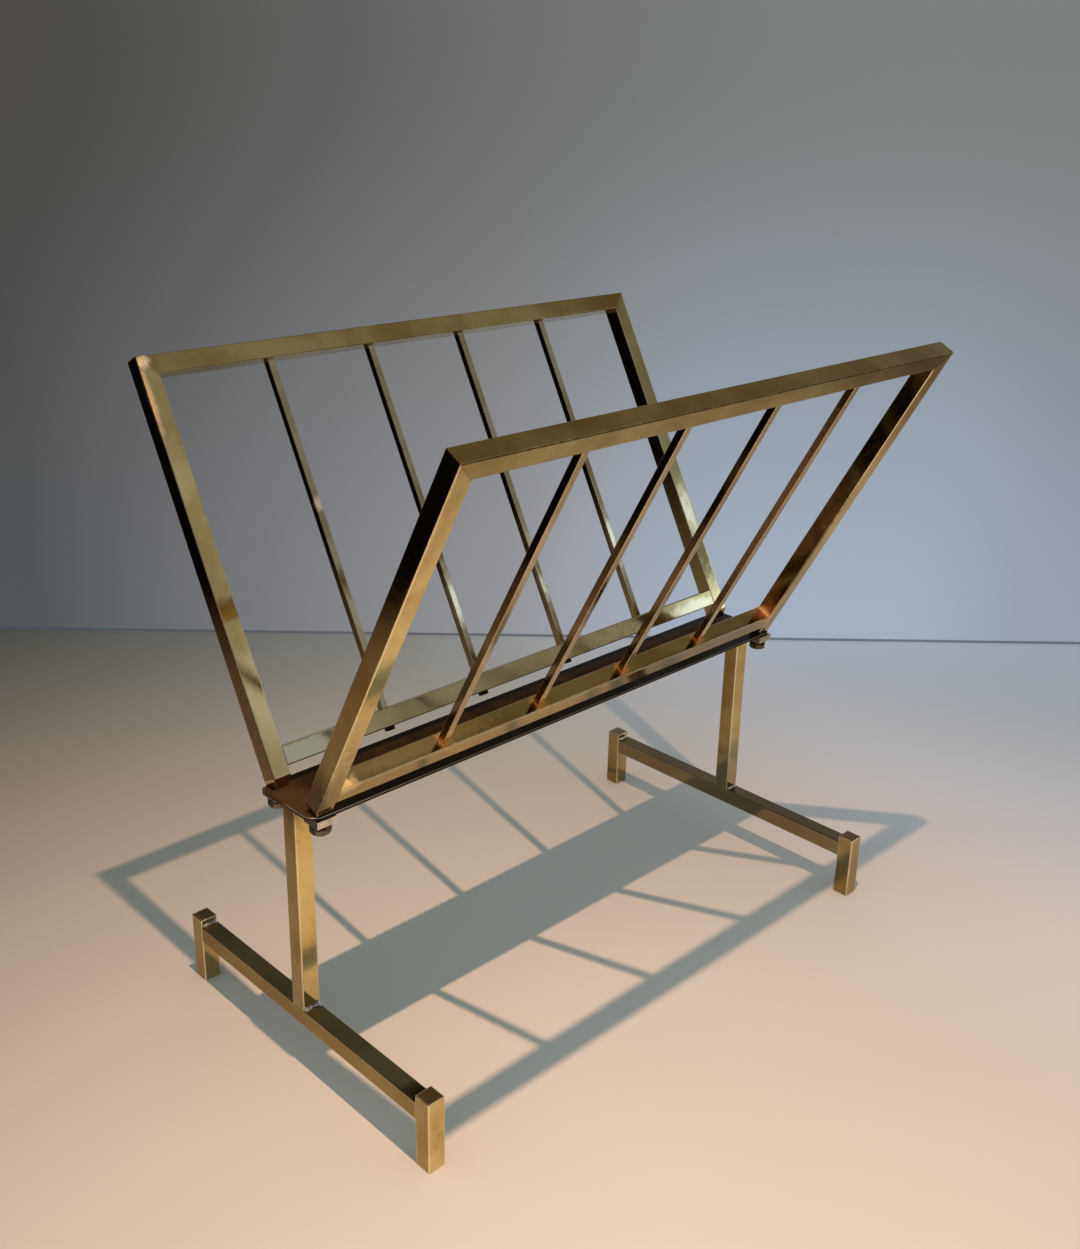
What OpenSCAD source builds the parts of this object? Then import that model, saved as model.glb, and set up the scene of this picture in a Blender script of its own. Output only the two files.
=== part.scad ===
// Brass magazine rack: two leaning barred frames on a narrow base plate,
// carried by two T-shaped legs. The parts are brazed from square tube, and
// four bolts hold the frames to the plate.
// Millimetres. The origin is on the floor under the middle of the rack.
// X runs along the rack, the front frame leans towards -Y, and +Z is up.

/* [Tube] */
// Outside width of the square tube in the frames and legs
tube = 12; // [9:0.5:20]
// Wall of the square tube
tube_wall = 1.2; // [0.8:0.1:2]
// Radius of the tube's outside edges
tube_edge = 0.8; // [0.4:0.1:1.5]

/* [Frames] */
// Width of each frame, along the rack
frame_w = 420; // [260:5:600]
// Height of each frame, measured up its slope
frame_h = 260; // [160:1:360]
// Lean of each frame from upright, in degrees
lean = 28.3; // [12:0.1:40]
// Slope distance from the stile's square end up to the bottom rail
rail_lift = 5; // [3:0.5:30]

/* [Bars] */
// Width of the square bars
bar = 5; // [3:0.5:7]
// Radius of the bar's edges
bar_edge = 0.5; // [0.2:0.1:1]
// How far the bars stick out below the bottom rail
bar_tail = 2.5; // [0.5:0.5:4]
// Clearance round a bar in its socket, filled with braze
bar_gap = 0.05; // [0.02:0.01:0.2]

/* [Base plate] */
// Thickness of the base plate
plate_t = 2; // [1.5:0.1:6]
// Radius of the plate's corners
plate_r = 9; // [2:0.5:20]
// Radius of the plate's upper and lower edges
plate_edge = 0.5; // [0.2:0.1:0.9]
// How far the plate runs past the frames at each end
plate_overhang = 4; // [0:0.5:30]
// How far the plate runs past the outer edge of the stile feet
plate_margin = 0.5; // [0:0.1:15]
// Distance across the outer edges of the stile feet, front to rear
stile_spread = 52.5; // [48:0.5:160]

/* [Legs] */
// Length of the upright posts
post_h = 139.5; // [60:0.5:260]
// Distance from the plate's end in to the post
post_inset = 2.5; // [0:0.5:60]
// Length of the crossbar between its two foot blocks
crossbar_l = 223.5; // [140:0.5:360]
// Height of the foot blocks
foot_h = 47.5; // [30:0.5:90]
// How far the foot blocks stand above the crossbar
foot_rise = 4.5; // [0:0.5:15]
// Radius of the edges round a foot block's ends
foot_edge = 0.6; // [0.3:0.1:1.5]

/* [Stile shoes] */
// Length of the shoe's spigot inside the stile
spigot_l = 16; // [12:0.5:40]
// Clearance round the spigot
spigot_gap = 0.1; // [0.02:0.01:0.3]
// Thickness of the shoe under the stile's outer edge
heel_h = 2.1; // [0.6:0.1:4]
// How far the shoe's outer and inner faces draw in towards the plate
shoe_under = 1; // [0:0.1:1.5]
// How far each side of the shoe draws in towards its inner edge
shoe_draw = 2.4; // [0:0.1:3]

/* [Bolts] */
// Diameter of the bolt's shank
bolt_d = 6.3; // [4:0.1:7]
// Clearance round the shank in the plate and washer
bolt_gap = 0.2; // [0.1:0.05:0.5]
// Clearance round the shank in the shoe's tapped hole
thread_gap = 0.05; // [0.01:0.01:0.1]
// Least metal left beside the shank's tip in the shoe
thread_wall = 0.5; // [0.3:0.1:1.5]
// Depth of the tapped hole past the shank's tip
thread_spare = 0.4; // [0.2:0.1:0.6]
// Width of the bolt head across its flats
head_flats = 11.3; // [8:0.1:13]
// Height of the bolt head
head_h = 6.5; // [3:0.1:8]
// Chamfer round the head's lower corners
head_chamfer = 1.2; // [0.2:0.1:1.5]
// Side of the square washer
washer_w = 13.5; // [10:0.5:16]
// Thickness of the square washer
washer_t = 4.5; // [1:0.5:8]

/* [Hidden] */
$fn = 48;
BARS = 4;
BRASS = [0.71, 0.56, 0.31];
DARK_BRASS = [0.30, 0.20, 0.13];
STEEL = [0.58, 0.56, 0.52];
bore = tube - 2 * tube_wall;
crossbar_top = foot_h - foot_rise;
plate_base = crossbar_top + post_h;
plate_top = plate_base + plate_t;
plate_l = frame_w + 2 * plate_overhang;
plate_w = stile_spread + 2 * plate_margin;
stile_y = stile_spread / 2;
stile_x = (frame_w - tube) / 2;
post_x = plate_l / 2 - post_inset - tube / 2;
foot_y = (crossbar_l + tube) / 2;
bar_pitch = (frame_w - 2 * tube) / (BARS + 1);
bar_hole = bar + 2 * bar_gap;
spigot = bore - 2 * spigot_gap;
// The bolt stands under the middle of the stile's square end, and its tip stops
// where the leaning spigot would leave less than thread_wall beside it
bolt_y = stile_y - tube / 2 * cos(lean);
seat_mid = heel_h + tube / 2 * sin(lean);
thread_l = seat_mid + (spigot / 2 / cos(lean) - bolt_d / 2 - thread_wall) / tan(lean);
cut = 0.1;

// Rectangle with rounded corners, centred
module rounded_oblong(width, height, r) {
    flat_w = width - 2 * r;
    flat_h = height - 2 * r;
    square([width, flat_h], center = true);
    square([flat_w, height], center = true);
    for (x = [-1, 1], y = [-1, 1])
        translate([x * flat_w / 2, y * flat_h / 2])
            circle(r);
}

module rounded_square(side, r) {
    rounded_oblong(side, side, r);
}

// Square tube standing along +Z, centred on the axis
module square_tube(length) {
    linear_extrude(length)
        difference() {
            rounded_square(tube, tube_edge);
            square(bore, center = true);
        }
}

// A frame is drawn flat: X across it, Y in from its outer face and Z up its
// slope, from the outer edge of the stile's square end.
module front_place() {
    translate([0, -stile_y, plate_top + heel_h])
        rotate([lean, 0, 0])
            children();
}

module rear_place() {
    mirror([0, 1, 0])
        front_place()
            children();
}

// Prism through the frame's depth, from an outline in the frame's own plane
module frame_prism(outline) {
    translate([0, tube + cut, 0])
        rotate([90, 0, 0])
            linear_extrude(tube + 2 * cut)
                polygon(outline);
}

// Left stile: square at the foot and mitred at the top
module stile() {
    outer = -frame_w / 2;
    inner = outer + tube;
    color(BRASS)
        intersection() {
            translate([-stile_x, tube / 2, 0])
                square_tube(frame_h);
            frame_prism([[outer - cut, -cut], [inner + cut, -cut],
                         [inner + cut, frame_h - tube - cut], [outer - cut, frame_h + cut]]);
        }
}

// Place of one bar in its frame, counted from the left
module bar_place(i) {
    translate([(i - (BARS + 1) / 2) * bar_pitch, tube / 2, 0])
        children();
}

// Square holes for the bars, from one height up the slope
module bar_holes(from, depth) {
    for (i = [1 : BARS])
        bar_place(i)
            translate([-bar_hole / 2, -bar_hole / 2, from])
                cube([bar_hole, bar_hole, depth]);
}

// Top rail: mitred at both ends, with a socket in its lower wall for each bar
module top_rail() {
    outer = frame_w / 2;
    inner = outer - tube;
    color(BRASS)
        difference() {
            intersection() {
                translate([-outer, tube / 2, frame_h - tube / 2])
                    rotate([0, 90, 0])
                        square_tube(frame_w);
                frame_prism([[-outer - cut, frame_h + cut], [-inner + cut, frame_h - tube - cut],
                             [inner - cut, frame_h - tube - cut], [outer + cut, frame_h + cut]]);
            }
            bar_holes(frame_h - tube - cut, tube_wall + 2 * cut);
        }
}

// Bottom rail: butts between the stiles, with the bars right through it
module bottom_rail() {
    inner = frame_w / 2 - tube;
    color(BRASS)
        difference() {
            translate([-inner, tube / 2, rail_lift + tube / 2])
                rotate([0, 90, 0])
                    square_tube(2 * inner);
            bar_holes(rail_lift - cut, tube + 2 * cut);
        }
}

// Bar: from its tail below the bottom rail to the top rail's upper wall
module frame_bar(i) {
    tail = rail_lift - bar_tail;
    head = frame_h - tube_wall;
    color(BRASS)
        bar_place(i)
            translate([0, 0, tail])
                linear_extrude(head - tail)
                    rounded_square(bar, bar_edge);
}

// Left shoe of the front frame: a spigot in the stile on a foot that narrows
// down to the plate, tapped upright for the bolt
module shoe() {
    seat_y = tube * cos(lean);
    inner_h = heel_h + tube * sin(lean);
    color(BRASS)
        difference() {
            union() {
                front_place()
                    translate([-stile_x - spigot / 2, (tube - spigot) / 2, -heel_h / 2])
                        cube([spigot, spigot, spigot_l + heel_h / 2]);
                intersection() {
                    translate([-frame_w / 2, -stile_y, plate_top])
                        rotate([90, 0, 90])
                            linear_extrude(tube)
                                polygon([[shoe_under, 0], [seat_y - shoe_under, 0],
                                         [seat_y, inner_h], [0, heel_h]]);
                    front_place()
                        translate([-stile_x, 0, 0])
                            shoe_sides(inner_h / cos(lean));
                }
            }
            translate([-stile_x, -bolt_y, plate_top - cut])
                cylinder(d = bolt_d + 2 * thread_gap, h = thread_l + thread_spare + cut);
        }
}

// The shoe's two sides, drawing in over one drop from the stile's square end
module shoe_sides(drop) {
    half = tube / 2;
    frame_prism([[-half, cut], [-half, 0], [shoe_draw - half, -drop],
                 [half - shoe_draw, -drop], [half, 0], [half, cut]]);
}

module bolt_places() {
    for (x = [-1, 1], y = [-1, 1])
        translate([x * stile_x, y * bolt_y, 0])
            children();
}

// Plate with rounded corners, and with its upper and lower edges rounded
module base_plate() {
    flat_l = plate_l - 2 * plate_r;
    flat_w = plate_w - 2 * plate_r;
    color(DARK_BRASS)
        difference() {
            translate([0, 0, plate_base + plate_t / 2]) {
                rotate([90, 0, 90])
                    linear_extrude(flat_l, center = true)
                        rounded_oblong(plate_w, plate_t, plate_edge);
                rotate([90, 0, 0])
                    linear_extrude(flat_w, center = true)
                        rounded_oblong(plate_l, plate_t, plate_edge);
                for (x = [-1, 1], y = [-1, 1])
                    translate([x * flat_l / 2, y * flat_w / 2])
                        rotate_extrude()
                            intersection() {
                                rounded_oblong(2 * plate_r, plate_t, plate_edge);
                                translate([0, -plate_t])
                                    square([2 * plate_r, 2 * plate_t]);
                            }
            }
            bolt_places()
                translate([0, 0, plate_base - cut])
                    cylinder(d = bolt_d + 2 * bolt_gap, h = plate_t + 2 * cut);
        }
}

module square_washers() {
    color(STEEL)
        bolt_places()
            translate([0, 0, plate_base - washer_t])
                difference() {
                    translate([-washer_w / 2, -washer_w / 2, 0])
                        cube([washer_w, washer_w, washer_t]);
                    translate([0, 0, -cut])
                        cylinder(d = bolt_d + 2 * bolt_gap, h = washer_t + 2 * cut);
                }
}

// Hexagon head with its lower corners turned off
module bolt_head() {
    corner = head_flats / 2 / cos(30);
    intersection() {
        rotate(30)
            cylinder(r = corner, h = head_h, $fn = 6);
        rotate_extrude()
            polygon([[0, 0], [corner - head_chamfer, 0], [corner + cut, head_chamfer + cut],
                     [corner + cut, head_h], [0, head_h]]);
    }
}

module hex_bolts() {
    color(STEEL)
        bolt_places()
            translate([0, 0, plate_base - washer_t - head_h]) {
                bolt_head();
                cylinder(d = bolt_d, h = head_h + washer_t + plate_t + thread_l);
            }
}

module post(side) {
    color(BRASS)
        translate([side * post_x, 0, crossbar_top])
            square_tube(post_h);
}

module crossbar(side) {
    color(BRASS)
        translate([side * post_x, crossbar_l / 2, crossbar_top - tube / 2])
            rotate([90, 0, 0])
                square_tube(crossbar_l);
}

// Solid foot block: rounded upright edges, and rounded edges round its ends
module foot(side_x, side_y) {
    color(BRASS)
        translate([side_x * post_x, side_y * foot_y, foot_h / 2])
            intersection() {
                linear_extrude(foot_h, center = true)
                    rounded_square(tube, tube_edge);
                both_ways()
                    rotate([90, 0, 0])
                        linear_extrude(2 * tube, center = true)
                            rounded_oblong(tube, foot_h, foot_edge);
            }
}

// What is common to a shape and to the same shape turned a quarter round
module both_ways() {
    intersection() {
        children();
        rotate(90)
            children();
    }
}

base_plate();
front_place() stile();  // front_left_stile
front_place() mirror([1, 0, 0]) stile();  // front_right_stile
front_place() top_rail();  // front_top_rail
front_place() bottom_rail();  // front_bottom_rail
front_place() frame_bar(1);  // front_bar_1
front_place() frame_bar(2);  // front_bar_2
front_place() frame_bar(3);  // front_bar_3
front_place() frame_bar(4);  // front_bar_4
rear_place() stile();  // rear_left_stile
rear_place() mirror([1, 0, 0]) stile();  // rear_right_stile
rear_place() top_rail();  // rear_top_rail
rear_place() bottom_rail();  // rear_bottom_rail
rear_place() frame_bar(1);  // rear_bar_1
rear_place() frame_bar(2);  // rear_bar_2
rear_place() frame_bar(3);  // rear_bar_3
rear_place() frame_bar(4);  // rear_bar_4
shoe();  // front_left_shoe
mirror([1, 0, 0]) shoe();  // front_right_shoe
mirror([0, 1, 0]) shoe();  // rear_left_shoe
mirror([1, 0, 0]) mirror([0, 1, 0]) shoe();  // rear_right_shoe
post(-1);  // left_post
post(1);  // right_post
crossbar(-1);  // left_crossbar
crossbar(1);  // right_crossbar
foot(-1, -1);  // left_front_foot
foot(-1, 1);  // left_rear_foot
foot(1, -1);  // right_front_foot
foot(1, 1);  // right_rear_foot
square_washers();
hex_bolts();
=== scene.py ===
import math

import bmesh
import bpy
from mathutils import Matrix, Vector, noise


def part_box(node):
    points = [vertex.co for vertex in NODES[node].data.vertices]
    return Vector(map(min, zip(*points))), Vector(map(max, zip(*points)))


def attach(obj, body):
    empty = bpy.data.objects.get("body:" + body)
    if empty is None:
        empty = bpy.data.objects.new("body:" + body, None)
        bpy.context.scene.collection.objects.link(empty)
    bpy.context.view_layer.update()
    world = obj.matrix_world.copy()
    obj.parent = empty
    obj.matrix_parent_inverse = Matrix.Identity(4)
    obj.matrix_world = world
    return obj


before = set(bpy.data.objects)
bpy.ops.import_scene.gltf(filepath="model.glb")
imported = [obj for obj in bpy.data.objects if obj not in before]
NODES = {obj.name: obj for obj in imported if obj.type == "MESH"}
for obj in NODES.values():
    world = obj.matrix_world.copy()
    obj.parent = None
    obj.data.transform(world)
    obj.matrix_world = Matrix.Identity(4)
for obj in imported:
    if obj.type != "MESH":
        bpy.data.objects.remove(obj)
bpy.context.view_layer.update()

# ---------------------------------------------------------------- sizes, all read from the CAD nodes

POST_LO, POST_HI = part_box("left_post")
PLATE_LO, PLATE_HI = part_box("base_plate")
FOOT_INNER_Y = -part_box("left_front_foot")[1][1]
TUBE = POST_HI[0] - POST_LO[0]
POST_X = (POST_LO[0] + POST_HI[0]) / 2
CROSS_TOP = POST_LO[2]
FRAME_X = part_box("front_right_stile")[1][0]
EDGE_X = FRAME_X - TUBE
MID_X = FRAME_X - TUBE / 2
BAR_X = [(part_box(f"front_bar_{i}")[0][0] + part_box(f"front_bar_{i}")[1][0]) / 2 for i in range(1, 5)]


def lean_angle():
    """Lean of the frames, from the normal of the rear stile's outer face."""
    faces = NODES["rear_left_stile"].data.polygons
    faces = [p for p in faces if abs(p.normal.x) < 0.01 and p.normal.z < -0.1]
    n = max(faces, key=lambda p: p.area).normal
    return math.atan2(-n.z, n.y)


LEAN = lean_angle()
# lowest point of a stile's outer face, and the frame's height measured up its slope from there
HEEL = min((v.co for v in NODES["rear_left_stile"].data.vertices), key=lambda c: c.z)
TOP_V = (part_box("rear_top_rail")[1][1] - HEEL.y) / math.sin(LEAN)

# ---------------------------------------------------------------- node helpers


class Tree:
    """Short forms for building a node tree."""

    def __init__(self, owner):
        owner.use_nodes = True
        self.t = owner.node_tree
        self.t.nodes.clear()

    def node(self, kind, **props):
        n = self.t.nodes.new(kind)
        for k, v in props.items():
            setattr(n, k, v)
        return n

    def put(self, socket, value):
        if isinstance(value, bpy.types.NodeSocket):
            self.t.links.new(value, socket)
        else:
            socket.default_value = value

    def math(self, op, a, b=None, c=None):
        n = self.node("ShaderNodeMath", operation=op)
        for s, v in zip(n.inputs, (a, b, c)):
            if v is not None:
                self.put(s, v)
        return n.outputs[0]

    def scale(self, vector, factors):
        n = self.node("ShaderNodeVectorMath", operation="MULTIPLY")
        self.put(n.inputs[0], vector)
        self.put(n.inputs[1], factors)
        return n.outputs[0]

    def dot(self, a, b):
        n = self.node("ShaderNodeVectorMath", operation="DOT_PRODUCT")
        self.put(n.inputs[0], a)
        self.put(n.inputs[1], b)
        return n.outputs["Value"]

    def step(self, value, lo, hi, to_lo=0.0, to_hi=1.0, kind="SMOOTHSTEP"):
        """Eased change from to_lo at lo to to_hi at hi, held beyond both."""
        n = self.node("ShaderNodeMapRange", interpolation_type=kind)
        self.put(n.inputs["Value"], value)
        for name, v in (("From Min", lo), ("From Max", hi), ("To Min", to_lo), ("To Max", to_hi)):
            self.put(n.inputs[name], v)
        return n.outputs["Result"]

    def mix(self, fac, a, b, blend="MIX"):
        n = self.node("ShaderNodeMix", data_type="RGBA", blend_type=blend)
        self.put(n.inputs["Factor"], fac)
        self.put(n.inputs["A"], rgba(a))
        self.put(n.inputs["B"], rgba(b))
        return n.outputs["Result"]

    def noise(self, vector, scale, detail=2.0, rough=0.5):
        n = self.node("ShaderNodeTexNoise")
        self.put(n.inputs["Vector"], vector)
        self.put(n.inputs["Scale"], scale)
        self.put(n.inputs["Detail"], detail)
        self.put(n.inputs["Roughness"], rough)
        return n.outputs["Fac"]

    def split(self, vector):
        n = self.node("ShaderNodeSeparateXYZ")
        self.put(n.inputs[0], vector)
        return n.outputs[0], n.outputs[1], n.outputs[2]

    def coords(self, kind="Object"):
        return self.node("ShaderNodeTexCoord").outputs[kind]

    def ray(self, kind):
        return self.node("ShaderNodeLightPath").outputs[kind]

    def bump(self, height, strength, distance, under=None):
        n = self.node("ShaderNodeBump")
        self.put(n.inputs["Strength"], strength)
        self.put(n.inputs["Distance"], distance)
        self.put(n.inputs["Height"], height)
        if under is not None:
            self.put(n.inputs["Normal"], under)
        return n.outputs[0]

    def flatness(self, radius):
        """1 on a flat face, less within radius of an edge."""
        bevel = self.node("ShaderNodeBevel", samples=4)
        self.put(bevel.inputs["Radius"], radius)
        return self.dot(bevel.outputs[0], self.node("ShaderNodeNewGeometry").outputs["True Normal"])

    def either(self, fac, a, b):
        n = self.node("ShaderNodeMixShader")
        for socket, value in zip(n.inputs, (fac, a, b)):
            self.put(socket, value)
        return n.outputs[0]

    def shader(self, kind, sockets):
        n = self.node(kind)
        for name, value in sockets.items():
            self.put(n.inputs[name], rgba(value))
        return n.outputs[0]

    def surface(self, shader, kind="ShaderNodeOutputMaterial"):
        self.put(self.node(kind).inputs["Surface"], shader)


def rgba(c):
    """A three-part colour with its alpha, anything else as it is."""
    return (*c, 1.0) if isinstance(c, tuple) and len(c) == 3 else c


def times(colour, factors):
    return tuple(c * k for c, k in zip(colour, factors))


def new_material(name):
    m = bpy.data.materials.new(name)
    return m, Tree(m)


# ---------------------------------------------------------------- metals

EDGE_GLINT_COLOUR = (1.0, 0.88, 0.58)
FINE = {"X": (40, 1600, 1600), "Y": (1600, 40, 1600), "Z": (1600, 1600, 40)}
LONG = {"X": (7, 130, 130), "Y": (130, 7, 130), "Z": (130, 130, 7)}


def brass(name, turn=0.0, along="Z", seed=0.0, tint=(0.70, 0.57, 0.29), dull=0.0, ends=0.0, tops=0.0,
          film=(0.20, 0.17, 0.14), marks=None, patches=(), matt_tops=0.0, graze=(1.0, 1.0, 1.0), rubbed=1.0):
    """Aged polished brass. turn rotates the grain about X onto a leaning frame, along is the tube's own axis.
    dull says how far the whole piece has tarnished. ends and tops darken its end faces and its upper faces as
    painted shade, and film tints what dull and tops darken. marks adds seams, patches are the painted
    reflections, highlights and shade listed in PATCHES, matt_tops roughens the upper faces, graze tints what
    a face mirrors at a low angle and rubbed is how bright the painted highlight on the edges is."""
    m, t = new_material(name)
    place = t.coords()
    grain = t.node("ShaderNodeMapping")
    t.put(grain.inputs["Vector"], place)
    t.put(grain.inputs["Rotation"], (turn, 0.0, 0.0))
    t.put(grain.inputs["Location"], (seed, seed * 0.7, seed * 1.3))
    grain = grain.outputs[0]
    streak = t.noise(t.scale(grain, FINE[along]), 1.0, 3.0, 0.6)
    band = t.noise(t.scale(grain, LONG[along]), 1.0, 2.0, 0.5)
    cloud = t.noise(grain, 22.0, 3.0, 0.55)
    spots = t.noise(grain, 210.0, 3.0, 0.6)

    pale = tuple(min(1.0, c * 1.08) for c in tint)
    deep = times(tint, (0.80, 0.72, 0.58))
    brown = times(tint, (0.45, 0.36, 0.32))
    colour = t.mix(t.step(cloud, 0.36, 0.66), deep, pale)
    colour = t.mix(t.math("MULTIPLY", t.step(band, 0.45, 0.75), 0.35), colour, tint)
    stain = t.math("MULTIPLY", t.step(spots, 0.60, 0.78), t.step(cloud, 0.60, 0.38))
    colour = t.mix(t.math("MULTIPLY", stain, 0.55), colour, brown)
    facing = t.split(t.coords("Normal"))
    wear_and_highlight_reach = t.step(cloud, 0.25, 0.75, 1.0, 0.82)
    # the end faces and the upper faces are darkened as painted shade; dull adds the tarnished look of the
    # whole piece
    end = t.math("MULTIPLY", t.step(t.math("ABSOLUTE", facing[0]), 0.55, 0.9), ends)
    top = t.math("MULTIPLY", t.step(facing[2], 0.55, 0.9), tops)
    tarnish_and_painted_light = t.math("MULTIPLY", t.math("MAXIMUM", t.math("MAXIMUM", end, top), dull), wear_and_highlight_reach)
    tarnish_and_shade_colour = t.mix(end, times(tint, film), times(tint, (0.21, 0.15, 0.04)))
    colour = t.mix(tarnish_and_painted_light, colour, tarnish_and_shade_colour)
    blotch = t.noise(grain, 95.0, 4.0, 0.65)
    blotch = t.math("MULTIPLY", t.step(blotch, 0.52, 0.72), t.step(cloud, 0.62, 0.42))
    colour = t.mix(t.math("MULTIPLY", blotch, 0.42), colour, brown)
    rough = t.math("MULTIPLY_ADD", cloud, 0.06, 0.02)
    rough = t.math("MULTIPLY_ADD", tarnish_and_painted_light, 0.05, rough)
    rough = t.math("MULTIPLY_ADD", streak, 0.035, rough)
    rough = t.math("MULTIPLY_ADD", stain, 0.18, rough)
    rough = t.math("MULTIPLY_ADD", blotch, 0.07, rough)
    if matt_tops:
        rough = t.math("MULTIPLY_ADD", top, matt_tops, rough)

    # edges painted lighter and rougher, as a painted highlight
    near_edge = t.step(t.flatness(0.0014), 0.998, 0.95, 0.0, 0.9)
    squared = t.node("ShaderNodeMapping", vector_type="NORMAL")
    t.put(squared.inputs["Vector"], t.coords("Normal"))
    t.put(squared.inputs["Rotation"], (turn, 0.0, 0.0))
    nx, ny, nz = (t.math("ABSOLUTE", a) for a in t.split(squared.outputs[0]))
    corner = t.step(t.math("MAXIMUM", t.math("MAXIMUM", nx, ny), nz), 0.985, 0.88)
    rub = t.math("MULTIPLY", t.step(cloud, 0.30, 0.62, 0.70, 1.0), t.step(band, 0.30, 0.60, 0.75, 1.0))
    edge = t.math("MULTIPLY", t.math("MAXIMUM", near_edge, corner), rub)
    colour = t.mix(t.math("MULTIPLY", edge, 0.95 * rubbed), colour, EDGE_GLINT_COLOUR)
    rough = t.math("MULTIPLY_ADD", edge, 0.14, rough)
    if marks:
        colour, rough = marks(t, place, colour, rough, cloud)
    # painted reflections, highlights and shade, patch by patch
    if patches:
        x, v, w = on_frame(t, place)
        wobble = t.math("MULTIPLY_ADD", spots, 0.9, -0.45)
        for px, pv, pw, rx, rv, rw, patch_colour, amount, matt in patches:
            off = [t.math("DIVIDE", t.math("SUBTRACT", a, b), r)
                   for a, b, r in ((x, px, rx), (v, pv, rv), (w, pw, rw))]
            far = t.math("MULTIPLY", off[0], off[0])
            for o in off[1:]:
                far = t.math("MULTIPLY_ADD", o, o, far)
            here = t.step(t.math("ADD", t.math("SQRT", far), wobble), 1.0, 0.25)
            colour = t.mix(t.math("MULTIPLY", here, amount), colour, patch_colour)
            rough = t.math("MULTIPLY_ADD", here, matt, rough)

    wave = t.bump(t.noise(grain, 48.0, 2.0, 0.5), 0.5, 0.00012)
    scratches = t.math("MULTIPLY_ADD", streak, 0.6, t.math("MULTIPLY", spots, 0.4))
    t.surface(t.shader("ShaderNodeBsdfPrincipled", {
        "Metallic": 1.0, "Specular Tint": graze, "Base Color": colour, "Roughness": rough,
        "Normal": t.bump(scratches, 0.22, 0.00006, wave)}))
    return m


def on_frame(t, place):
    """A point's place on its frame: x, height v up the slope from the heel, depth w from the outer face."""
    x, y, z = t.split(place)
    out = t.math("SUBTRACT", t.math("ABSOLUTE", y), HEEL.y)
    up = t.math("SUBTRACT", z, HEEL.z)
    v = t.math("ADD", t.math("MULTIPLY", out, math.sin(LEAN)), t.math("MULTIPLY", up, math.cos(LEAN)))
    w = t.math("SUBTRACT", t.math("MULTIPLY", up, math.sin(LEAN)), t.math("MULTIPLY", out, math.cos(LEAN)))
    return x, v, w


def frame_marks(t, place, colour, rough, cloud):
    """Mitre seams at the frame's top corners, and a darker warm brown towards the foot."""
    x, v, _ = on_frame(t, place)
    across = t.math("ABSOLUTE", x)
    off = t.math("ABSOLUTE", t.math("SUBTRACT", t.math("SUBTRACT", across, v), FRAME_X - TOP_V))
    near_top = t.step(v, TOP_V - TUBE * 1.15, TOP_V - TUBE * 1.05)
    seam = t.math("MULTIPLY", t.step(off, 0.00034, 0.00012), near_top)
    halo = t.math("MULTIPLY", t.step(off, 0.0035, 0.0004), near_top)
    colour = t.mix(t.math("MULTIPLY", halo, 0.35), colour, (0.42, 0.27, 0.09))
    colour = t.mix(t.math("MULTIPLY", seam, 0.85), colour, (0.06, 0.035, 0.015))
    foot = t.math("MULTIPLY", t.step(v, 0.045, 0.0), t.step(cloud, 0.30, 0.60, 0.4, 1.0))
    colour = t.mix(t.math("MULTIPLY", foot, 0.45), colour, (0.50, 0.30, 0.09))
    rough = t.math("MULTIPLY_ADD", seam, 0.3, rough)
    return colour, rough


def leg_marks(t, place, colour, rough, cloud):
    """Brass tarnished darker round the brazed joints of the legs, and painted shade under the plate and low
    on both posts.
    """
    x, y, z = t.split(place)
    ends = t.math("ABSOLUTE", t.math("SUBTRACT", t.math("ABSOLUTE", y), FOOT_INNER_Y))
    at_foot = t.step(ends, 0.014, 0.002)
    at_post = t.math("MULTIPLY", t.step(t.math("ABSOLUTE", y), 0.014, 0.006),
                     t.step(t.math("ABSOLUTE", t.math("SUBTRACT", z, CROSS_TOP)), 0.007, 0.001))
    joint = t.math("MAXIMUM", at_foot, at_post)
    joint = t.math("MULTIPLY", joint, t.step(cloud, 0.35, 0.65, 0.25, 1.0))
    colour = t.mix(t.math("MULTIPLY", joint, 0.5), colour, (0.30, 0.22, 0.09))
    # painted shade on the posts just under the plate
    shade_under_plate = t.step(z, PLATE_LO[2] - 0.016, PLATE_LO[2] - 0.003, 0.0, 0.65)
    colour = t.mix(shade_under_plate, colour, (0.10, 0.06, 0.025))
    # painted shade low on each post, where it mirrors the shadow on the floor
    for post_x, high, low, amount, tint in (
        (-POST_X, 0.100, 0.060, 0.55, (0.22, 0.20, 0.13)),
        (POST_X, 0.080, 0.050, 0.32, (0.36, 0.38, 0.26)),
    ):
        here = t.math("MULTIPLY", t.step(z, high, low), t.step(x, post_x * 0.9, post_x * 0.95))
        colour = t.mix(t.math("MULTIPLY", here, amount), colour, tint)
    rough = t.math("MULTIPLY_ADD", joint, 0.10, rough)
    return colour, rough


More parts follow.
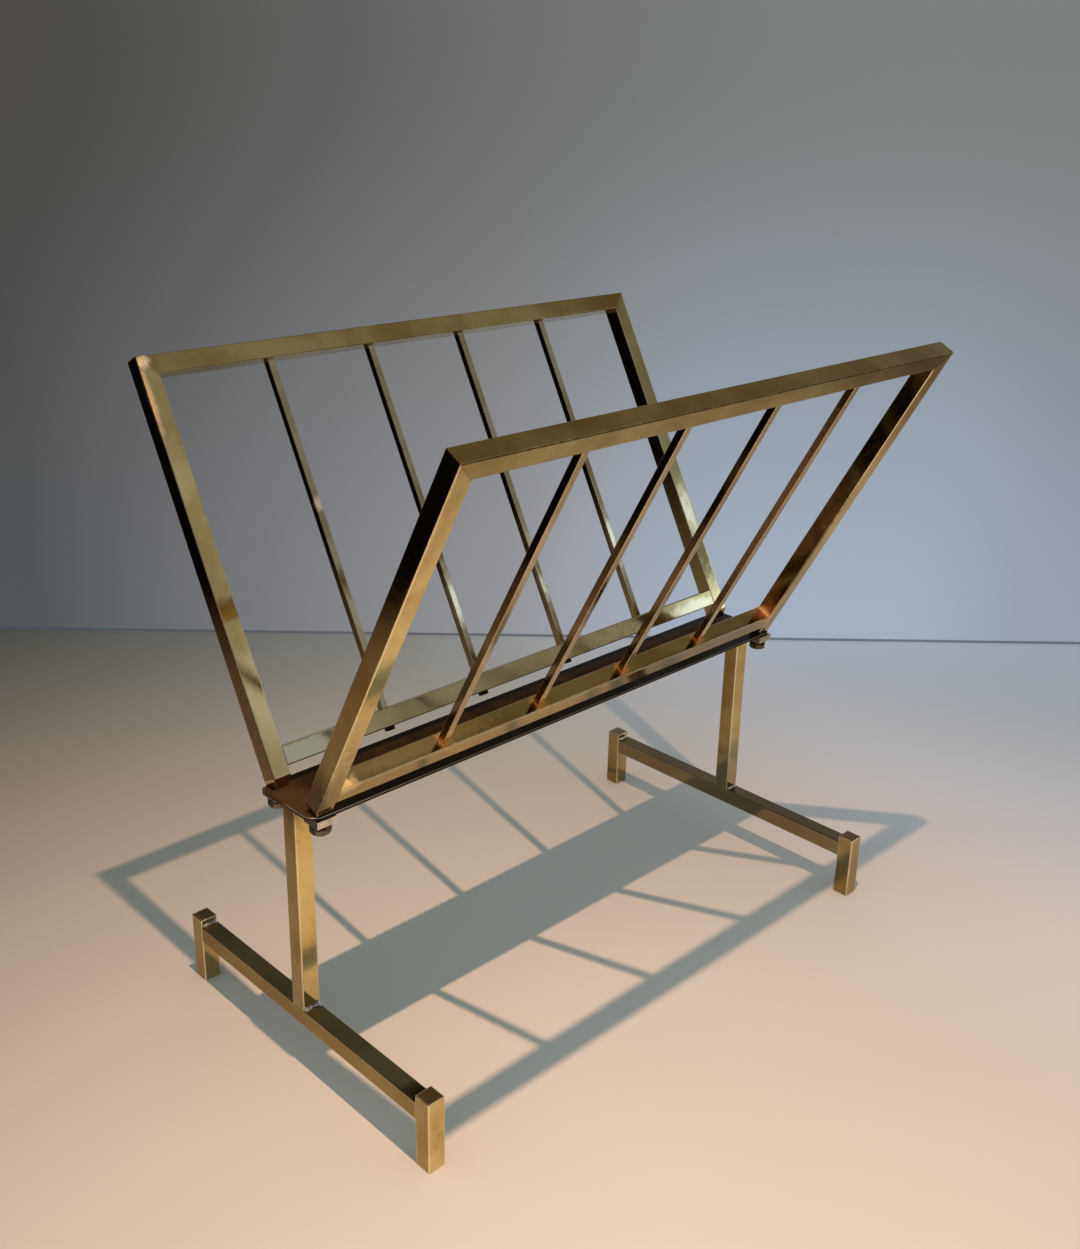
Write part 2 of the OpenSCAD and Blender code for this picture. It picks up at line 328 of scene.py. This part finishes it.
def dark_brass():
    """The plate's dark brown oxide: glossy, with a thin painted highlight along the rim by the near left
    corner.
    """
    m, t = new_material("plate_patina")
    place = t.coords()
    x, y, z = t.split(place)
    wide = t.noise(t.scale(place, (9, 45, 45)), 1.0, 3.0, 0.5)
    cloud = t.noise(place, 40.0, 3.0, 0.55)
    fine = t.noise(t.scale(place, (60, 1500, 1500)), 1.0, 2.0, 0.5)
    colour = t.mix(t.step(cloud, 0.35, 0.70), (0.018, 0.010, 0.003), (0.034, 0.019, 0.006))
    colour = t.mix(t.math("MULTIPLY", t.step(wide, 0.55, 0.80), 0.5), colour, (0.045, 0.026, 0.012))
    # the near left end painted lighter brown, as painted light where the lamp falls on the plate
    corner = t.step(x, PLATE_LO[0] * 0.86, PLATE_LO[0] * 0.94)
    corner = t.math("MULTIPLY", corner, t.step(cloud, 0.25, 0.6, 0.6, 1.0))
    colour = t.mix(corner, colour, (0.066, 0.035, 0.013))
    normal_z = t.math("ABSOLUTE", t.split(t.coords("Normal"))[2])
    rim = t.step(normal_z, 0.97, 0.55)
    colour = t.mix(rim, colour, (0.048, 0.026, 0.009))
    # a thin whitish metallic painted highlight along the rim's top edge, strongest by the near left corner
    wear_and_highlight_reach = t.math("MULTIPLY", t.step(x, PLATE_LO[0] * 0.55, PLATE_LO[0] * 0.90, 0.30, 1.0),
                  t.step(y, 0.004, -0.012))
    rim_highlight = t.math("MULTIPLY", t.step(normal_z, 0.15, 0.45), t.step(normal_z, 0.97, 0.75))
    rim_highlight = t.math("MULTIPLY", t.math("MULTIPLY", rim_highlight, wear_and_highlight_reach),
                  t.step(z, PLATE_HI[2] - 0.0012, PLATE_HI[2] - 0.0004))
    colour = t.mix(t.math("MULTIPLY", rim_highlight, 0.9), colour, (0.86, 0.78, 0.68))
    rough = t.math("MULTIPLY_ADD", cloud, 0.16, 0.18)
    rough = t.math("MULTIPLY_ADD", fine, 0.05, rough)
    rough = t.math("MULTIPLY_ADD", rim_highlight, 0.12, rough)
    t.surface(t.shader("ShaderNodeBsdfPrincipled", {
        "Specular IOR Level": 0.06, "Specular Tint": (1.0, 0.76, 0.54),
        "Metallic": t.math("MULTIPLY", rim_highlight, 0.9), "Base Color": colour, "Roughness": rough,
        "Normal": t.bump(fine, 0.15, 0.00005)}))
    return m


def steel(name, tint, stained, end_shade=0.0, neck=None, sheen=0.14):
    """Dull plated steel with turning marks. stained is how brown its clouds are, sooty darkens the end faces
    as painted shade, neck is a height just under which it turns black as painted shadow, sheen is its least
    roughness, and the edges are painted lighter as a painted highlight."""
    m, t = new_material(name)
    place = t.coords()
    cloud = t.noise(place, 170.0, 3.0, 0.6)
    fine = t.noise(t.scale(place, (500, 500, 2600)), 1.0, 2.0, 0.5)
    colour = t.mix(t.step(cloud, 0.35, 0.68), tuple(c * 0.72 for c in tint), tint)
    colour = t.mix(t.math("MULTIPLY", t.step(cloud, 0.50, 0.34), stained), colour, (0.26, 0.15, 0.07))
    # the end faces are darkened as painted shade
    if end_shade:
        end = t.math("ABSOLUTE", t.split(t.coords("Normal"))[0])
        colour = t.mix(t.step(end, 0.3, 0.8, 0.0, end_shade), colour, (0.045, 0.032, 0.019))
    # a black band just under neck, as painted shadow under the washer
    if neck:
        neck_shadow = t.step(t.split(place)[2], neck - 0.0030, neck - 0.0014)
        colour = t.mix(neck_shadow, colour, (0.02, 0.014, 0.009))
    # edges painted lighter, as a painted highlight
    edge = t.step(t.flatness(0.0006), 0.998, 0.93)
    colour = t.mix(t.math("MULTIPLY", edge, 0.6), colour, tuple(min(1.0, c * 1.6) for c in tint))
    rough = t.math("MULTIPLY_ADD", cloud, 0.20, sheen)
    rough = t.math("MULTIPLY_ADD", fine, 0.08, rough)
    t.surface(t.shader("ShaderNodeBsdfPrincipled", {
        "Metallic": 1.0, "Base Color": colour, "Roughness": rough,
        "Normal": t.bump(t.math("ADD", fine, cloud), 0.3, 0.00008)}))
    return m


def dress(node, material):
    """Give a CAD node's mesh this material and no other."""
    mesh = NODES[node].data
    mesh.materials.clear()
    mesh.materials.append(material)



# height of a bottom rail's upper face above the heel, and depth of the tube's middle behind the outer face
SILL_V, MID_W = 0.017, TUBE / 2
# colours of the painted reflections, highlights and shade in PATCHES
ORANGE, GOLD, BLOND = (0.95, 0.50, 0.18), (1.0, 0.76, 0.40), (1.0, 0.88, 0.62)
AMBER, RUSSET, UMBER = (0.92, 0.62, 0.26), (0.72, 0.47, 0.29), (0.10, 0.065, 0.028)
SHADE_BROWN, BLACK = (0.13, 0.07, 0.015), (0.015, 0.011, 0.007)
SILVERY, CREAM, STRAW = (0.90, 0.95, 0.72), (1.0, 1.0, 0.84), (1.0, 0.98, 0.64)
# Patches of painted reflection, highlight and shade on the frames, by piece. A row holds the place x, v, w as
# on_frame() gives it, the reach along each, the colour, its strength and the roughness it adds.
PATCHES = {
    "front_bottom_rail": [(x, SILL_V, MID_W, 0.0085, 0.006, 0.009, ORANGE, 0.85, 0.22) for x in BAR_X] + [
        (EDGE_X - 0.004, SILL_V, MID_W, 0.016, 0.008, 0.012, ORANGE, 0.80, 0.22),
        (EDGE_X - 0.0005, SILL_V, MID_W, 0.0032, 0.006, 0.010, BLOND, 0.85, 0.30),
        (0.060 - EDGE_X, SILL_V, 0.007, 0.085, 0.004, 0.009, AMBER, 0.50, 0.03),
        (0.002 - EDGE_X, SILL_V, 0.001, 0.019, 0.006, 0.009, GOLD, 0.95, 0.30),
        (0.110, 0.011, 0.0, 0.150, 0.016, 0.004, UMBER, 0.42, 0.0)],
    "front_bar": [(BAR_X[3] - 0.003, 0.150, MID_W, 0.0028, 0.120, 0.020, RUSSET, 0.70, 0.30)] + [
        (x, SILL_V + 0.003, MID_W, 0.006, 0.018, 0.009, ORANGE, 0.65, 0.10) for x in BAR_X],
    "front_right_stile": [
        (MID_X, 0.030, 0.0, 0.012, 0.100, 0.005, UMBER, 0.26, 0.02),
        # painted shade low on the stile's inner side
        (EDGE_X, 0.080, MID_W, 0.0035, 0.095, 0.020, SHADE_BROWN, 0.80, 0.0),
        (EDGE_X, SILL_V + 0.002, MID_W, 0.004, 0.030, 0.014, ORANGE, 0.80, 0.20),
        (EDGE_X, SILL_V - 0.002, MID_W, 0.004, 0.007, 0.012, BLOND, 0.70, 0.25)],
    "front_left_stile": [
        (-MID_X, 0.010, 0.0, 0.012, 0.078, 0.005, UMBER, 0.50, 0.03),
        (-MID_X, TOP_V, 0.0, 0.012, 0.085, 0.005, UMBER, 0.35, 0.03),
        (-FRAME_X, 0.004, MID_W, 0.004, 0.036, 0.016, UMBER, 0.88, 0.06)],
    "front_top_rail": [(0.0, TOP_V, 0.0, 0.500, 0.0010, 0.0010, UMBER, 0.85, 0.10)],
    "rear_left_stile": [
        (-FRAME_X, 0.012, MID_W, 0.003, 0.080, 0.012, UMBER, 0.45, 0.0),
        (0.0012 - FRAME_X, TOP_V - 0.026, TUBE, 0.0034, 0.036, 0.004, GOLD, 0.95, 0.32),
        (0.0045 - FRAME_X, TOP_V - 0.003, TUBE, 0.0055, 0.006, 0.005, BLOND, 0.95, 0.32)],
    "rear_top_rail": [(0.0045 - FRAME_X, TOP_V - 0.003, TUBE, 0.0065, 0.005, 0.005, BLOND, 0.90, 0.32)],
    "rear_right_stile": [
        (MID_X, 0.081, TUBE, 0.008, 0.032, 0.005, SILVERY, 0.58, 0.04),
        (FRAME_X, 0.046, TUBE, 0.0018, 0.070, 0.003, CREAM, 0.85, 0.22)],
    "rear_bottom_rail": [
        (0.0, 0.010, TUBE, 0.160, 0.020, 0.004, SILVERY, 0.0, 0.10),
        (0.012 - EDGE_X, 0.010, TUBE, 0.050, 0.014, 0.005, SILVERY, 0.38, 0.04),
        (EDGE_X - 0.020, 0.009, TUBE, 0.034, 0.007, 0.005, STRAW, 0.90, 0.12)],
    "rear_bar": [(BAR_X[0], 0.152, TUBE * 0.7, 0.006, 0.007, 0.004, BLOND, 0.80, 0.28)] + [
        (BAR_X[i], v, TUBE * 0.7, 0.006, 0.026, 0.004, SILVERY, 0.70, 0.03)
        for i, v in ((1, 0.070), (2, 0.066), (3, 0.076))] + [
        (x, 0.002, MID_W, 0.020, 0.009, 0.020, BLACK, 1.0, 0.25) for x in BAR_X],
}
GREENISH, OLIVE = (0.70, 0.58, 0.245), (0.62, 0.62, 0.35)

# seed shifts the noise, so that no two pieces show the same clouds
for side, turn, side_seed, stile, bar in (
    ("front", -LEAN, 0.0, (0.72, 0.57, 0.25), (0.66, 0.56, 0.36)),
    ("rear", LEAN, 3.1, (0.70, 0.58, 0.285), (0.62, 0.57, 0.40)),
):
    def on(part, tint, along, seed, **tarnish_and_painted_light):
        """Brass for one part of this frame, with its marks and its patches of painted reflection, highlight
        and shade.
        """
        name = f"{side}_{part}"
        return brass(name + "_brass", turn, along, seed + side_seed, tint, marks=frame_marks,
                     patches=PATCHES.get(name, ()), **tarnish_and_painted_light)

    dress(f"{side}_left_stile", on("left_stile", stile, "Z", 0.3, ends=0.55))
    if side == "front":
        dress("front_right_stile", on("right_stile", stile, "Z", 0.9, ends=0.55))
        dress("front_bottom_rail", on("bottom_rail", GREENISH, "X", 1.9, dull=0.52))
    else:
        dress("rear_right_stile", on("right_stile", OLIVE, "Z", 0.9, dull=0.18, ends=0.55))
        dress("rear_bottom_rail", on("bottom_rail", OLIVE, "X", 1.9, dull=0.40, rubbed=0.4))
    dress(f"{side}_top_rail", on("top_rail", GREENISH, "X", 1.4, dull=0.58, rubbed=0.0))
    bars = on("bar", bar, "Z", 2.3, dull=0.38, ends=0.7, rubbed=0.25)
    for i in range(1, 5):
        dress(f"{side}_bar_{i}", bars)
    shoes = brass(f"{side}_shoe_brass", 0.0, "Z", 2.7 + side_seed, (0.64, 0.50, 0.23), dull=0.42, ends=0.66)
    for end in ("left", "right"):
        dress(f"{side}_{end}_shoe", shoes)
# for each end the third value darkens the crossbars' upper faces as painted shade, and film tints it
for end, end_seed, tops, film in (
    ("left", 0.0, 0.70, (0.26, 0.22, 0.0)),
    ("right", 2.2, 0.97, (0.19, 0.065, 0.0)),
):
    dress(f"{end}_post", brass(
        f"{end}_post_brass", 0.0, "Z", 7.1 + end_seed, (0.71, 0.56, 0.26), ends=0.72, marks=leg_marks))
    dress(f"{end}_crossbar", brass(
        f"{end}_crossbar_brass", 0.0, "Y", 7.8 + end_seed, (0.70, 0.53, 0.21), ends=0.86, tops=tops,
        film=film, marks=leg_marks, graze=(0.85, 0.70, 0.62)))
    for row in ("front", "rear"):
        # dull tarnishes the whole foot, and the second value darkens its upper face as painted shade
        dull, foot_top_shade = (0.45, 0.95) if end == "right" else (0.25 if row == "rear" else 0.0, 0.80)
        dress(f"{end}_{row}_foot", brass(
            f"{end}_{row}_foot_brass", 0.0, "Z", 8.4 + end_seed, dull=dull, ends=0.66, tops=foot_top_shade,
            film=(0.24, 0.16, 0.07), matt_tops=0.30))
dress("base_plate", dark_brass())
dress("square_washers", steel("washer_steel", (0.74, 0.67, 0.56), 0.35, end_shade=0.85))
dress("hex_bolts", steel("bolt_steel", (0.24, 0.19, 0.14), 0.6, end_shade=0.85,
                         neck=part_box("square_washers")[0][2] - 0.0008, sheen=0.02))

# ---------------------------------------------------------------- solder


def bead(name, low, high, size, seed, material):
    """Lumpy quarter-round run of solder from low to high, in the corner where a face standing at y = low.y
    meets the bar under it."""
    runs, arc = 36, 8  # steps along the run and round its quarter circle
    bm = bmesh.new()
    rings = []
    for i in range(runs + 1):
        f = i / runs
        p = low.lerp(high, f)
        swell = 0.72 + 0.75 * noise.noise(Vector((f * 7.0 + seed, seed, 0.3))) + 0.35 * (2 * f - 1) ** 2
        taper = min(1.0, math.sin(math.pi * min(f, 1 - f)) * 9 + 0.25)
        up, out = size * swell * taper, size * 0.85 * swell * taper
        ring = [bm.verts.new(p + Vector((0, size * 0.3, -size * 0.3)))]
        for j in range(arc + 1):
            a = math.pi / 2 * j / arc
            sag = 1.0 - 0.20 * math.sin(2 * a)
            lump = 1.0 + 0.10 * noise.noise(Vector((f * 22.0, j * 0.7, seed)))
            spread = sag * lump
            ring.append(bm.verts.new(p + Vector((0, -out * math.sin(a) * spread, up * math.cos(a) * spread))))
        rings.append(ring)
    n = arc + 2
    for a, b in zip(rings, rings[1:]):
        for j in range(n):
            bm.faces.new((a[j], a[(j + 1) % n], b[(j + 1) % n], b[j]))
    bm.faces.new(rings[0][::-1])
    bm.faces.new(rings[-1])
    bmesh.ops.recalc_face_normals(bm, faces=bm.faces)
    me = bpy.data.meshes.new(name)
    bm.to_mesh(me)
    bm.free()
    me.shade_smooth()
    me.materials.append(material)
    ob = bpy.data.objects.new(name, me)
    bpy.context.scene.collection.objects.link(ob)
    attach(ob, "root")


solder = steel("solder", (0.95, 0.93, 0.88), 0.10, sheen=0.24)
INSET = 0.0006
for end, end_seed, post_size, foot_size in (("left", 1.7, 0.0023, 0.0017), ("right", 4.9, 0.0013, 0.0014)):
    for piece, size in (("post", post_size), ("rear_foot", foot_size)):
        lo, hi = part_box(f"{end}_{piece}")
        bead(f"{end}_{piece}_solder", Vector((lo[0] + INSET, lo[1], CROSS_TOP)),
             Vector((hi[0] - INSET, lo[1], CROSS_TOP)), size, end_seed, solder)

# ---------------------------------------------------------------- camera

# fitted to the edges of the rack in the photo
YAW, PITCH, ROLL = (math.radians(a) for a in (-43.641, -20.486, 0.812))
CAMERA = Vector((-0.58815, -0.58121, 0.57170))
SENSOR_MM, LENS_MM = 36.0, 44.856
SHIFT_X, SHIFT_Y = 0.02355, -0.03287

ahead = Vector((-math.sin(YAW) * math.cos(PITCH), math.cos(YAW) * math.cos(PITCH), math.sin(PITCH)))
level = ahead.cross(Vector((0, 0, 1))).normalized()
lift = level.cross(ahead)
right = level * math.cos(ROLL) + lift * math.sin(ROLL)
above = lift * math.cos(ROLL) - level * math.sin(ROLL)
cam_data = bpy.data.cameras.new("camera")
cam_data.sensor_fit = "HORIZONTAL"
cam_data.sensor_width = SENSOR_MM
cam_data.lens = LENS_MM
cam_data.shift_x = SHIFT_X
cam_data.shift_y = SHIFT_Y
cam_data.clip_end = 50.0
cam = bpy.data.objects.new("camera", cam_data)
cam.matrix_world = Matrix((
    (right.x, above.x, -ahead.x, CAMERA.x),
    (right.y, above.y, -ahead.y, CAMERA.y),
    (right.z, above.z, -ahead.z, CAMERA.z),
    (0, 0, 0, 1)))
bpy.context.scene.collection.objects.link(cam)
bpy.context.scene.camera = cam

# ---------------------------------------------------------------- floor, backdrop and light

# level directions away from the camera and to its right
BACK = Vector((math.sin(-YAW), math.cos(YAW), 0.0))
SIDE = Vector((BACK.y, -BACK.x, 0.0))
FLOOR_REACH = 6
WALL_BACK, WALL_REACH, WALL_HEIGHT = 0.554, 2.2, 1.6


def sheet(name, corners, material):
    """One flat four-cornered face."""
    me = bpy.data.meshes.new(name)
    bm = bmesh.new()
    bm.faces.new([bm.verts.new(c) for c in corners])
    bm.to_mesh(me)
    bm.free()
    me.materials.append(material)
    ob = bpy.data.objects.new(name, me)
    bpy.context.scene.collection.objects.link(ob)
    return ob


def floor_material():
    """Matt pale floor with painted light: darker towards the back left and lighter towards the back right.
    What the metal mirrors of it fades on both sides into a glowing painted reflection of the unseen part of
    the room."""
    m, t = new_material("floor_pale")
    place = t.coords()
    cloud = t.noise(place, 6.0, 3.0, 0.5)
    off = t.dot(place, tuple(SIDE))
    back = t.dot(place, tuple(BACK))
    # the painted shade and the painted light run a little behind level left and right, by angles in radians
    leftward = t.dot(place, tuple(BACK * math.sin(0.21) - SIDE * math.cos(0.21)))
    rightward = t.dot(place, tuple(BACK * math.sin(0.56) + SIDE * math.cos(0.56)))
    colour = t.mix(t.step(cloud, 0.3, 0.7), (0.785, 0.735, 0.655), (0.800, 0.750, 0.670))
    colour = t.mix(t.step(leftward, -0.16, 0.87), colour, (0.250, 0.205, 0.160))
    colour = t.mix(t.step(rightward, 0.11, 0.47), colour, (0.960, 0.905, 0.915))
    matt = t.shader("ShaderNodeBsdfPrincipled", {
        "Roughness": 0.6, "Specular IOR Level": 0.3, "Base Color": colour})
    # for the metal's reflections both sides glow as a painted reflection of the room: near black far to the
    # left, warm brown nearer, brown turning darker far to the right
    near = t.step(back, -0.09, 0.10, 1.0, 0.42)
    near = t.math("MULTIPLY", t.step(off, -0.98, -0.66, kind="LINEAR"), near)
    left = t.mix(near, (0.004, 0.003, 0.002), (0.36, 0.245, 0.18))
    right = t.mix(t.step(off, 0.52, 0.84), (0.47, 0.385, 0.270), (0.13, 0.085, 0.055))
    room = t.shader("ShaderNodeEmission", {"Color": t.mix(t.step(off, -0.2, 0.0), left, right)})
    fade = t.math("MAXIMUM", t.step(off, -0.54, -0.66), t.step(off, 0.15, 0.58, 0.0, 0.92))
    t.surface(t.either(t.math("MULTIPLY", fade, t.ray("Is Glossy Ray")), matt, room))
    return m


def wall_material():
    """Glowing grey backdrop, clear from behind, painted with light and shade: darker higher up and towards
    the left, with a thin dark band at its foot. Its far left end is black in what the metal mirrors, and grey
    like the rest to the camera."""
    m, t = new_material("backdrop_grey")
    place = t.coords()
    z = t.split(place)[2]
    off = t.dot(place, tuple(SIDE))
    low = t.mix(t.step(off, -0.55, 0.09, kind="LINEAR"), (0.085, 0.093, 0.100), (0.345, 0.350, 0.375))
    low = t.mix(t.step(off, -0.05, 0.22), low, (0.370, 0.428, 0.530))
    low = t.mix(t.step(off, 0.38, 0.60), low, (0.312, 0.345, 0.425))
    high = t.mix(t.step(off, -0.60, 0.35), (0.070, 0.064, 0.056), (0.200, 0.215, 0.212))
    colour = t.mix(t.step(z, 0.0, 0.62), low, high)
    colour = t.mix(t.step(z, 0.62, 0.95), colour, (0.220, 0.190, 0.135))
    unseen = t.math("SUBTRACT", 1.0, t.ray("Is Camera Ray"))
    colour = t.mix(t.math("MULTIPLY", t.step(off, -0.75, -1.15), unseen), colour, (0.004, 0.004, 0.004))
    colour = t.mix(t.step(z, 0.0034, 0.0022, 0.0, 0.75), colour, (0.060, 0.075, 0.105))
    behind = t.node("ShaderNodeNewGeometry").outputs["Backfacing"]
    t.surface(t.either(behind, t.shader("ShaderNodeEmission", {"Color": colour}),
                       t.shader("ShaderNodeBsdfTransparent", {})))
    return m


floor = sheet("floor", [Vector((x, y, 0)) * FLOOR_REACH for x, y in ((-1, -1), (1, -1), (1, 1), (-1, 1))],
              floor_material())
wall_left, wall_right = (BACK * WALL_BACK + SIDE * reach for reach in (-WALL_REACH, WALL_REACH))
rise = Vector((0, 0, WALL_HEIGHT))
wall = sheet("backdrop", [wall_left, wall_right, wall_right + rise, wall_left + rise], wall_material())

# one small warm lamp overhead, placed by the edges of the shadow in the photo
LAMP = BACK * -0.360 + SIDE * 0.030 + Vector((0, 0, 1.745))
AIM = BACK * -0.850 + SIDE * -0.187
lamp_data = bpy.data.lights.new("ceiling_lamp", "SPOT")
lamp_data.energy = 100
lamp_data.color = (1.0, 0.633, 0.413)
lamp_data.shadow_soft_size = 0.012
lamp_data.spot_size = math.radians(94.4)
lamp_data.spot_blend = 1.0
lamp = bpy.data.objects.new("ceiling_lamp", lamp_data)
lamp.location = LAMP
lamp.rotation_euler = (AIM - LAMP).to_track_quat("-Z", "Y").to_euler()
bpy.context.scene.collection.objects.link(lamp)

DARK = (0.0, 0.0, 0.0)


def studio():
    """Even cool light for the matt surfaces, and soft panels for the metal to mirror."""
    world = bpy.data.worlds.new("studio")
    bpy.context.scene.world = world
    t = Tree(world)
    look = t.coords("Generated")
    x, y, z = t.split(look)
    bearing = t.math("MULTIPLY", t.math("ARCTAN2", y, x), 180 / math.pi)

    def glow(direction, inner, outer, colour):
        """Round glow about a direction, fading between two angles from it in degrees."""
        cosine = t.dot(look, tuple(Vector(direction).normalized()))
        k = t.step(cosine, math.cos(math.radians(outer)), math.cos(math.radians(inner)))
        return t.mix(k, DARK, colour)

    def panel(left, right, low, high, colour, soft, blur, slant=0.0):
        """Upright panel between two bearings in degrees and two heights at its right edge. soft and blur are
        how far its sides and its upper and lower edges fade, and slant is how much it rises for each degree
        to the left."""
        k = t.step(bearing, left - soft, left + soft)
        k = t.math("MULTIPLY", k, t.step(bearing, right + soft, right - soft))
        up = t.math("MULTIPLY_ADD", t.math("SUBTRACT", bearing, right), slant, z)
        k = t.math("MULTIPLY", k, t.step(up, low - blur, low + blur))
        k = t.math("MULTIPLY", k, t.step(up, high + blur, high - blur))
        return t.mix(k, DARK, colour)

    total = (0.006, 0.005, 0.004)
    for part in (
        glow((0.75, 0.05, 0.66), 12, 62, (0.270, 0.245, 0.215)),
        panel(-80, -46, 0.10, 0.95, (0.150, 0.150, 0.150), 8, 0.2),
        panel(-78, -53, 0.16, 0.44, (0.250, 0.270, 0.320), 1.5, 0.05),
        panel(-78, -52, 0.40, 0.57, (0.130, 0.140, 0.140), 1.5, 0.03),
        panel(-51, -35, 0.309, 0.340, (0.98, 1.02, 1.18), 1.2, 0.007, 0.0055),
        panel(-52, -15, 0.10, 0.80, (0.110, 0.112, 0.118), 6, 0.1),
        panel(-42, -30, 0.10, 0.291, (1.55, 1.80, 2.25), 0.8, 0.006),
        glow((-0.50, -0.80, 0.35), 10, 42, (0.20, 0.19, 0.18)),
        glow((0.80, 0.55, 0.30), 10, 40, (0.12, 0.12, 0.12)),
    ):
        total = t.mix(1.0, total, part, "ADD")
    mirrored = t.shader("ShaderNodeBackground", {"Color": total})
    even = t.shader("ShaderNodeBackground", {"Color": (0.398, 0.490, 0.522)})
    plain = t.shader("ShaderNodeBackground", {"Color": (0.30, 0.31, 0.32)})
    lit = t.either(t.ray("Is Glossy Ray"), even, mirrored)
    t.surface(t.either(t.ray("Is Camera Ray"), lit, plain), "ShaderNodeOutputWorld")


studio()
bpy.context.scene.view_settings.view_transform = "Standard"
